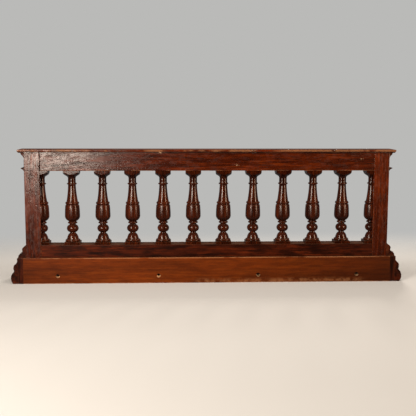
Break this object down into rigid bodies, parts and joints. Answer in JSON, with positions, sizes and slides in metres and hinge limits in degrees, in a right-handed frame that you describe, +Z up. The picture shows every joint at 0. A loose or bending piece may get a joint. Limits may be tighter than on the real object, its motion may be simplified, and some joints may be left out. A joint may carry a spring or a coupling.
{
  "type": "wooden balustrade",
  "caption": "Low wooden balustrade: turned vase balusters between two posts, with a moulded cap and base, a plain front and a drilled plinth board.",
  "frame": {"origin": "on the floor, at the middle of the footprint's box", "axes": "+X along the balustrade, -Y out of its plain front, +Y out of its moulded back, +Z up"},
  "size_m": [2.728, 0.242, 0.926],
  "materials": {
    "frame_walnut": "old waxed walnut",
    "turned_walnut": "dark polished walnut",
    "moulding_walnut": "dark waxed walnut",
    "plinth_wood": "stained newer board"
  },
  "bodies": {
    "root": {"baluster_01": "turned_walnut", "baluster_02": "turned_walnut", "baluster_03": "turned_walnut", "baluster_04": "turned_walnut", "baluster_05": "turned_walnut", "baluster_06": "turned_walnut", "baluster_07": "turned_walnut", "baluster_08": "turned_walnut", "baluster_09": "turned_walnut", "baluster_10": "turned_walnut", "base_block_back": "moulding_walnut", "base_block_left": "moulding_walnut", "base_block_right": "moulding_walnut", "base_cap_moulding_back": "moulding_walnut", "base_cap_moulding_left": "moulding_walnut", "base_cap_moulding_right": "moulding_walnut", "base_moulding_back": "moulding_walnut", "base_moulding_left": "moulding_walnut", "base_moulding_right": "moulding_walnut", "cap_board": "frame_walnut", "cornice_back": "moulding_walnut", "cornice_left": "moulding_walnut", "cornice_right": "moulding_walnut", "frieze_rail": "frame_walnut", "front_plinth_board": "plinth_wood", "half_baluster_left": "turned_walnut", "half_baluster_right": "turned_walnut", "left_post": "frame_walnut", "neck_moulding_back": "moulding_walnut", "neck_moulding_left": "moulding_walnut", "neck_moulding_right": "moulding_walnut", "right_post": "frame_walnut", "sill_rail": "moulding_walnut"}
  },
  "joints": []
}
